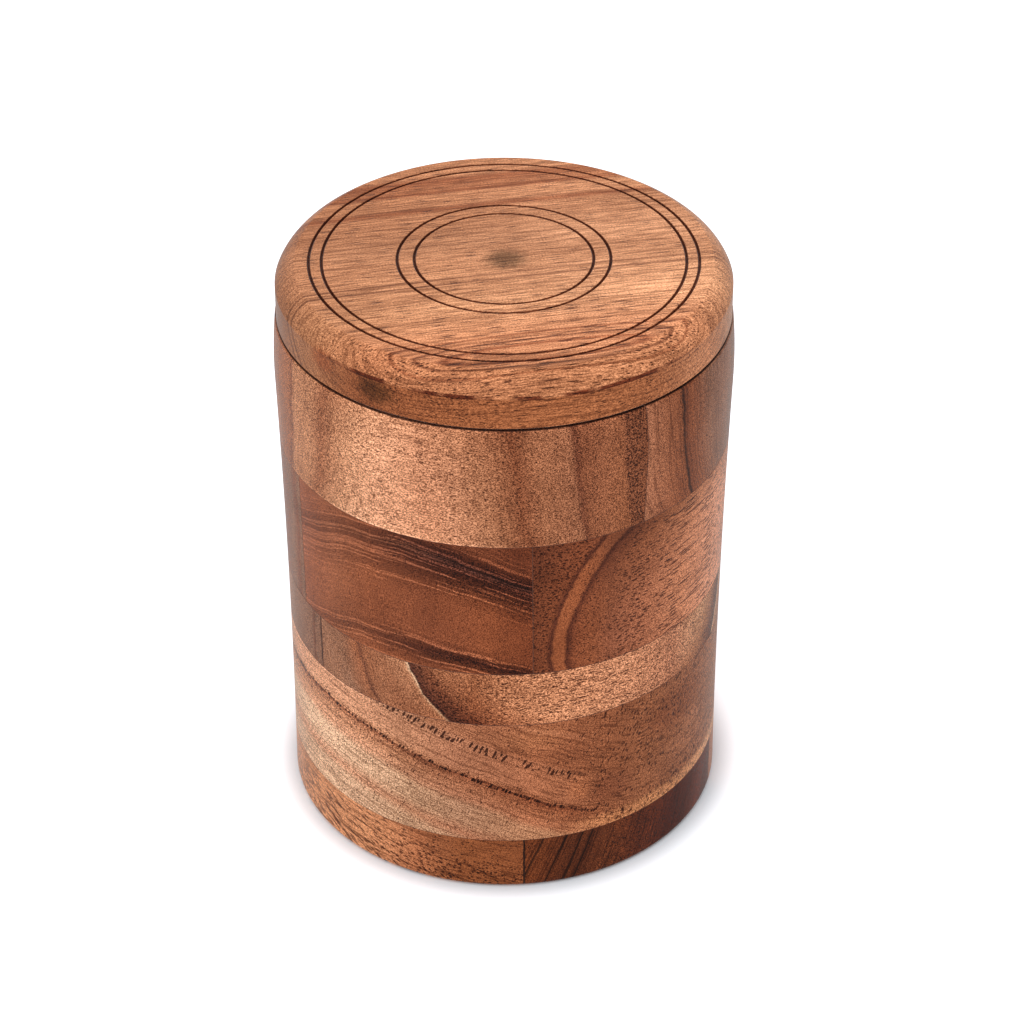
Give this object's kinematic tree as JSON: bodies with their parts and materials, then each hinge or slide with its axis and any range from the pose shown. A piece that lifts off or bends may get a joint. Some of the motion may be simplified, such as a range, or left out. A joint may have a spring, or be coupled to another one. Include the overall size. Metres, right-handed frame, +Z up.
{
  "type": "wooden storage jar",
  "caption": "Round wooden storage jar of glued and turned hardwood layers, with a lift-off lid that has a plug and a soft seal ring.",
  "frame": {"origin": "centre of the jar's flat underside, on the surface that it stands on", "axes": "+Z up along the turning axis, -Y the front, +X to the right as seen from the front"},
  "size_m": [0.1096, 0.1096, 0.1475],
  "materials": {
    "pale_wood": "oiled, satin",
    "tan_wood": "oiled, satin",
    "striped_wood": "oiled, satin",
    "lid_wood": "oiled, satin",
    "red_brown_wood": "oiled, satin",
    "grey_brown_wood": "oiled, satin",
    "dark_wood": "oiled, satin",
    "seal_silicone": "satin"
  },
  "bodies": {
    "jar": {"base_left_board": "red_brown_wood", "base_middle_board": "dark_wood", "base_right_board": "red_brown_wood", "lower_ring": "striped_wood", "thin_ring_front_board": "tan_wood", "thin_ring_back_board": "grey_brown_wood", "middle_ring_right_board": "red_brown_wood", "middle_ring_back_block": "dark_wood", "middle_ring_left_board": "grey_brown_wood", "middle_ring_front_block": "dark_wood", "rim_ring_front_board": "pale_wood", "rim_ring_right_block": "striped_wood", "rim_ring_back_board": "pale_wood", "rim_ring_left_block": "striped_wood"},
    "lid": {"lid_disc": "lid_wood", "lid_plug": "lid_wood", "lid_seal": "seal_silicone"}
  },
  "joints": [
    {"name": "lid_lift", "type": "slide", "parent": "jar", "child": "lid", "axis": [0, 0, 1], "range_m": [0, 0.06]}
  ]
}
